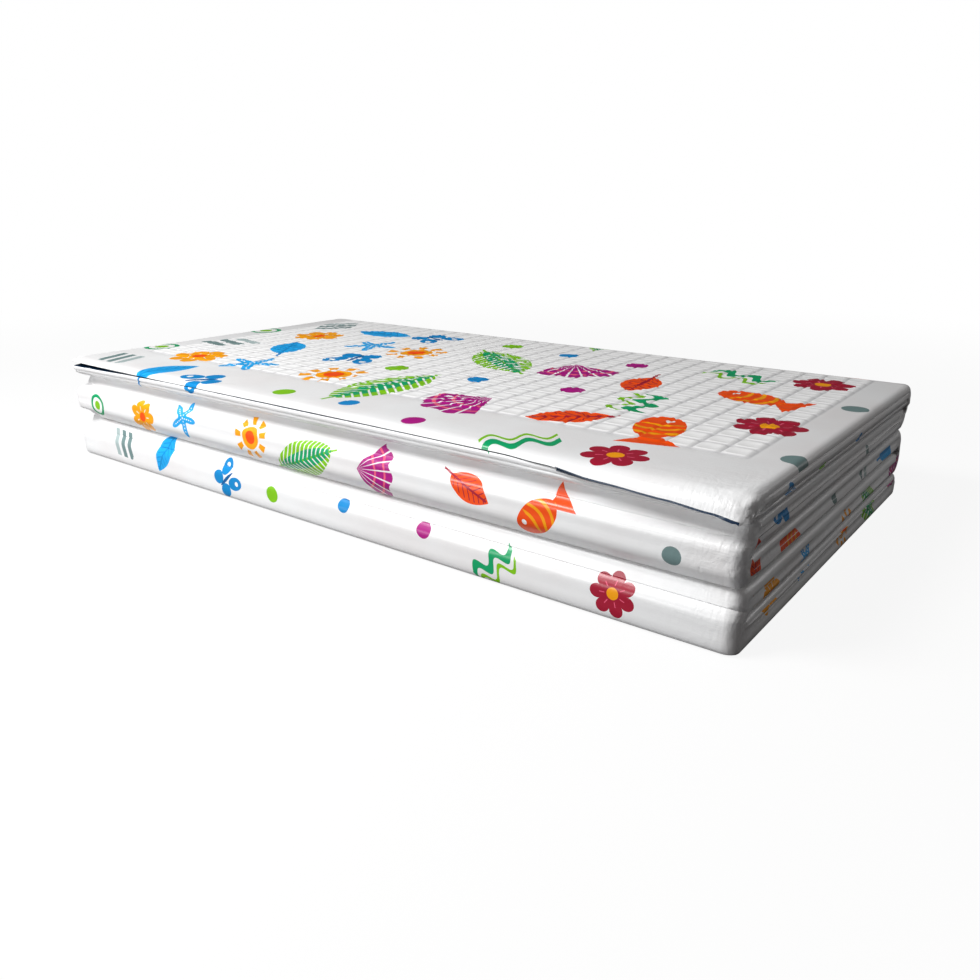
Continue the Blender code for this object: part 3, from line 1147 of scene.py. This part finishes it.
def scattered():
    """Each motif's band, name, place, size, stretch, turn and inks."""
    found = []
    for band, across, first, last, spacing, scale in PRINT_ROWS:
        for even_place in np.arange(first, last, spacing):
            number = len(found)
            design = DESIGNS[(DESIGN_START + number * DESIGN_STEP) % len(DESIGNS)]
            motif, size, stretch, inks = design
            along = even_place + PRINT_SWAY * math.sin(2.4 * number)
            aside = across + PRINT_SWAY * scale * math.cos(1.7 * number)
            found.append((band, motif, along, aside, size * scale, stretch, number * PRINT_TURN, inks))
    return found


MOTIF_REACH = 1.15           # how near a face comes to a motif to bear it, in the motif's sizes
DRAWN_REACH = MOTIF_REACH * 1.3
WELT_ROW = 9                 # the middle of the seam's welt among the seam's points
WELT_TOP_ROW = 11
SLIT_END = 1.040             # how far along the slit's inside takes the painted shade
DROOP_START = 0.870          # where the painted shade under the drooping lip starts as well
DROOP_END = 1.052
FAR_AWAY = 9.0               # the local place of film that bears no motif


def ink_numbers(words):
    """A motif's three inks, as numbers."""
    named = [INK_NAMES.index(word) for word in words.split(", ")]
    return (named + named[-1:] * 2)[:3]


def faces_between(skin, first, last):
    """Which faces lie wholly between two of the ring's points."""
    return np.array([all(first <= skin.ring[number] <= last for number in face) for face in skin.faces])


def seam_painted_shade(skin, low):
    """Which faces take the seam's navy painted shade: those inside its slit and under the drooping lip.
    """
    seam, crown = RUNS["seam"], RUNS["crown"]
    slit = faces_between(skin, seam[WELT_TOP_ROW], seam[-1]) & (low[:, 0] < SLIT_END)
    droop = (low[:, 0] > DROOP_START) & (low[:, 0] < DROOP_END)
    return slit | faces_between(skin, seam[WELT_ROW], crown[1]) & droop


def add_print(mesh, skin, places):
    """Stores, on each face near a motif, which motif it is, its inks and the corners' places in it."""
    starts = np.zeros(len(mesh.polygons), np.int32)
    totals = np.zeros(len(mesh.polygons), np.int32)
    mesh.polygons.foreach_get("loop_start", starts)
    mesh.polygons.foreach_get("loop_total", totals)
    low = np.minimum.reduceat(places, starts)
    high = np.maximum.reduceat(places, starts)
    face_of = np.repeat(np.arange(len(starts)), totals)
    local = np.full(places.shape, FAR_AWAY, np.float32)
    kinds = np.full(len(starts), -1.0, np.float32)
    inks = np.zeros((len(starts), 3), np.float32)
    nearest = np.full(len(starts), MOTIF_REACH)
    origins = band_origins(skin)
    names = [draw.__name__ for draw in MOTIFS]
    for band, motif, along, across, size, stretch, turn, colours in scattered():
        along_start, across_start, way = origins[band]
        centre = np.array((along_start + along, across_start + way * across))
        apart = np.maximum(np.maximum(low - centre, centre - high), 0.0)
        distance = np.hypot(apart[:, 0], apart[:, 1]) / (size * max(stretch, 1.0))
        near = distance < nearest
        nearest[near] = distance[near]
        angle = math.radians(turn)
        offset = (places[near[face_of]] - centre) / size
        offset[:, 1] *= way
        rotated = np.column_stack((
            offset[:, 0] * math.cos(angle) + offset[:, 1] * math.sin(angle),
            offset[:, 1] * math.cos(angle) - offset[:, 0] * math.sin(angle),
        ))
        rotated[:, 1] /= stretch
        local[near[face_of]] = rotated
        kinds[near] = names.index(motif)
        inks[near] = ink_numbers(colours)
    # The seam's slit and the film under its drooping lip are painted navy, as painted shade.
    dark = seam_painted_shade(skin, low)
    kinds[dark] = names.index("spot")
    inks[dark] = INK_NAMES.index("navy")
    local[dark[face_of]] = 0.0
    store(mesh, "motif_place", "FLOAT2", "CORNER", local)
    store(mesh, "motif_kind", "FLOAT", "FACE", kinds)
    store(mesh, "motif_inks", "FLOAT_VECTOR", "FACE", inks)


# The film.
FILM_WHITE = (0.81, 0.815, 0.82, 1.0)
FILM_WARM = (0.77, 0.755, 0.755, 1.0)
# Painted sheen: the pads' faces are painted whiter than the borders, for the light they catch.
PAD_PAINTED_SHEEN = (0.93, 0.93, 0.93, 1.0)
# Painted shade: the pads' valleys are greyed where shade falls in them.
VALLEY_PAINTED_SHADE = (0.62, 0.62, 0.63, 1.0)
LEAST_ROUGHNESS = 0.27
HANDLED_ROUGHNESS = 0.16     # added where the film has been handled most
GLOSS = 0.42
COAT = 0.06
COAT_ROUGHNESS = 0.18
# Heights of the film's finest relief, which is left to its material.
PEEL_HEIGHT = 0.00003
LONG_FOLD_HEIGHT = 0.0004
CRINKLE_HEIGHT = 0.0009
PUCKER_HEIGHT = 0.0013


def attribute(tree, name, output="Fac"):
    """The socket that gives one of the mesh's attributes."""
    node = tree.nodes.new("ShaderNodeAttribute")
    node.attribute_name = name
    return node.outputs[output]


def mixed(tree, share, first, second):
    """A colour between two others, each a socket or a fixed colour."""
    node = tree.nodes.new("ShaderNodeMix")
    node.data_type = "RGBA"
    for slot, value in (("Factor_Float", share), ("A_Color", first), ("B_Color", second)):
        target = next(item for item in node.inputs if item.identifier == slot)
        if isinstance(value, tuple):
            target.default_value = value
        else:
            tree.links.new(value, target)
    return next(item for item in node.outputs if item.identifier == "Result_Color")


def noise_field(tree, vector, scale, detail=2.0, roughness=0.5, distortion=0.0):
    """Cloudy noise between 0 and 1. The first output of its node is its strength."""
    return Field(tree, add_node(tree, "ShaderNodeTexNoise", {
        "Vector": vector,
        "Scale": scale,
        "Detail": detail,
        "Roughness": roughness,
        "Distortion": distortion,
    }))


def stretched(tree, vector, scale):
    return add_node(tree, "ShaderNodeMapping", {"Vector": vector, "Scale": scale})


def printed_colour(tree, film):
    """The film's colour with the print laid over it, drawn from each motif's own coordinates."""
    x, y, _ = split(tree, attribute(tree, "motif_place", "Vector"))
    kind = Field(tree, attribute(tree, "motif_kind"))
    inks = split(tree, attribute(tree, "motif_inks", "Vector"))
    radius = (x * x + y * y) ** 0.5
    angle = y.math("ARCTAN2", x)
    inside = radius.below(DRAWN_REACH)
    covered = x * 0.0
    ink = x * 0.0
    for number, draw in enumerate(MOTIFS):
        chosen = kind.math("COMPARE", float(number), 0.5) & inside
        for mask, chosen_ink in zip(draw(x, y, radius, angle), inks):
            shown = mask & chosen
            ink = ink.blend(chosen_ink, shown)
            covered = covered | shown
    ramp = tree.nodes.new("ShaderNodeValToRGB")
    ramp.color_ramp.interpolation = "CONSTANT"
    stops = ramp.color_ramp.elements
    for index, code in enumerate(INKS.values()):
        stop = stops[index] if index < 2 else stops.new(index / len(INKS))
        stop.position = index / len(INKS)
        stop.color = ink_colour(code)
    tree.links.new(((ink + 0.5) / len(INKS)).socket, ramp.inputs[0])
    return mixed(tree, covered.socket, film, ramp.outputs[0])


def film_material():
    """White satin film: its print, its gloss, painted shade in the pads' valleys, painted sheen on
    their faces, and the relief that is too fine for its mesh.
    """
    material = bpy.data.materials.new("printed satin film")
    material.use_nodes = True
    tree = material.node_tree
    solid = tree.nodes.new("ShaderNodeTexCoord").outputs["Object"]
    unrolled = add_node(tree, "ShaderNodeUVMap", uv_map="unrolled")
    loose = Field(tree, attribute(tree, "loose"))

    cloudy = noise_field(tree, solid, 9.0, 3.0, 0.55)
    white = mixed(tree, cloudy.step(0.35, 0.75).socket, FILM_WHITE, FILM_WARM)
    # Painted sheen on the pads' faces.
    white = mixed(tree, attribute(tree, "pad_face_painted_sheen"), white, PAD_PAINTED_SHEEN)
    # Painted shade in the pads' valleys.
    white = mixed(tree, attribute(tree, "pad_valley_painted_shade"), white, VALLEY_PAINTED_SHADE)
    handled = noise_field(tree, solid, 30.0, 4.0, 0.6)

    peel = noise_field(tree, solid, 700.0, 2.0)
    long_folds = noise_field(tree, stretched(tree, unrolled, (14.0, 260.0, 1.0)), 1.0, 3.0, 0.6, 0.4)
    crinkle = noise_field(tree, solid, 75.0, 4.0, 0.62, 0.7)
    puckers = abs(noise_field(tree, stretched(tree, unrolled, (120.0, 36.0, 1.0)), 1.0, 2.0) - 0.5)
    wrinkled = long_folds * LONG_FOLD_HEIGHT + crinkle * CRINKLE_HEIGHT + puckers * PUCKER_HEIGHT
    height = peel * PEEL_HEIGHT + wrinkled * loose
    relief = add_node(tree, "ShaderNodeBump", {"Strength": 1.0, "Distance": 1.0, "Height": height})

    set_inputs(tree, tree.nodes["Principled BSDF"], {
        "Base Color": printed_colour(tree, white),
        "Roughness": handled * HANDLED_ROUGHNESS + LEAST_ROUGHNESS,
        "Specular IOR Level": GLOSS,
        "Coat Weight": COAT,
        "Coat Roughness": COAT_ROUGHNESS,
        "Normal": relief,
    })
    return material


# The studio.
CAMERA_PLACE = (0.755, -0.927, 0.379)
CAMERA_PITCH = 71.14         # in degrees from straight down
CAMERA_TURN = 37.07          # in degrees
CAMERA_LENS = 31.55          # in millimetres, as is the sensor's width
SENSOR_WIDTH = 36.0
PURE_WHITE = (1.0, 1.0, 1.0, 1.0)
FLOOR_SIZE = 30.0
FLOOR_CLEARANCE = 0.0002     # under the mat
FLOOR_ROUGHNESS = 0.9
FLOOR_GLOSS = 0.1
FLOOR_SHADE = (0.93, 0.93, 0.93, 1.0)                # as the camera sees it
FLOOR_BOUNCE = (0.12, 0.12, 0.125, 1.0)              # for the light that it throws on the mat
FLOOR_GLOW = 0.90            # how much of the camera's view of it is plain white, close to the mat
FLOOR_FADE_START = 0.55
FLOOR_FADE_END = 2.4
STUDIO_FILL = (0.056, 0.051, 0.048, 1.0)
STUDIO_SHEEN = (0.06, 0.06, 0.06, 1.0)
LIGHTS = (
    # name, place, aim, width, depth, power
    ("key light", (-0.60, -1.10, 1.50), (-0.05, -0.10, 0.05), 0.8, 0.6, 41.5),
    ("front light", (-0.70, -2.10, 0.35), (-0.10, -0.28, 0.08), 1.4, 0.5, 20.5),
    ("top light", (1.00, 0.40, 1.35), (0.50, 0.10, 0.05), 1.0, 0.6, 2.0),
    ("side strip", (1.50, 1.50, 0.75), (0.53, 0.00, 0.08), 0.4, 0.6, 3.2),
)


def add_camera():
    data = bpy.data.cameras.new("camera")
    data.lens = CAMERA_LENS
    data.sensor_width = SENSOR_WIDTH
    camera = bpy.data.objects.new("camera", data)
    camera.location = CAMERA_PLACE
    camera.rotation_euler = (math.radians(CAMERA_PITCH), 0.0, math.radians(CAMERA_TURN))
    bpy.context.scene.collection.objects.link(camera)
    bpy.context.scene.camera = camera


def add_area_light(name, place, aim, width, depth, power):
    data = bpy.data.lights.new(name, "AREA")
    data.shape = "RECTANGLE"
    data.size = width
    data.size_y = depth
    data.energy = power
    light = bpy.data.objects.new(name, data)
    light.location = place
    light.rotation_euler = (Vector(aim) - Vector(place)).to_track_quat("-Z", "Y").to_euler()
    bpy.context.scene.collection.objects.link(light)


def add_floor():
    """A pale floor that fades to the white of its surroundings, and throws little light on the mat."""
    floor_height = MAT_LOW.z - FLOOR_CLEARANCE
    bpy.ops.mesh.primitive_plane_add(size=FLOOR_SIZE, location=(0.0, 0.0, floor_height))
    floor = bpy.context.object
    floor.name = "studio_floor"
    material = bpy.data.materials.new("pale floor")
    material.use_nodes = True
    tree = material.node_tree
    shader = tree.nodes["Principled BSDF"]
    seen = Field(tree, tree.nodes.new("ShaderNodeLightPath").outputs["Is Camera Ray"])
    shade = mixed(tree, seen.socket, FLOOR_BOUNCE, FLOOR_SHADE)
    set_inputs(tree, shader, {
        "Base Color": shade,
        "Roughness": FLOOR_ROUGHNESS,
        "Specular IOR Level": FLOOR_GLOSS,
    })
    x, y, _ = split(tree, tree.nodes.new("ShaderNodeTexCoord").outputs["Object"])
    fade = ((x * x + y * y) ** 0.5).step(FLOOR_FADE_START, FLOOR_FADE_END)
    glow = add_node(tree, "ShaderNodeEmission", {"Color": PURE_WHITE})
    share = (fade * (1.0 - FLOOR_GLOW) + FLOOR_GLOW) * seen
    blend = add_node(tree, "ShaderNodeMixShader", {0: share, 1: shader.outputs[0], 2: glow})
    set_inputs(tree, tree.nodes["Material Output"], {"Surface": blend})
    floor.data.materials.append(material)


def add_surroundings():
    """A studio that looks white to the camera, and gives the mat little light of its own."""
    world = bpy.data.worlds.new("soft white studio")
    world.use_nodes = True
    tree = world.node_tree
    ray = tree.nodes.new("ShaderNodeLightPath")
    shade = mixed(tree, ray.outputs["Is Glossy Ray"], STUDIO_FILL, STUDIO_SHEEN)
    shade = mixed(tree, ray.outputs["Is Camera Ray"], shade, PURE_WHITE)
    set_inputs(tree, tree.nodes["Background"], {"Color": shade})
    bpy.context.scene.world = world


def add_studio():
    add_camera()
    add_floor()
    add_surroundings()
    for light in LIGHTS:
        add_area_light(*light)
    bpy.context.scene.view_settings.view_transform = "Standard"


def build():
    film = film_material()
    mesh, skin, places = skin_mesh()
    add_print(mesh, skin, places)
    mat = bpy.data.objects.new("mat_film", mesh)
    bpy.context.scene.collection.objects.link(mat)
    mesh.materials.append(film)
    press_pads(mat, film)
    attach(mat, "root")
    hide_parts("folded_mat")
    add_studio()


build()
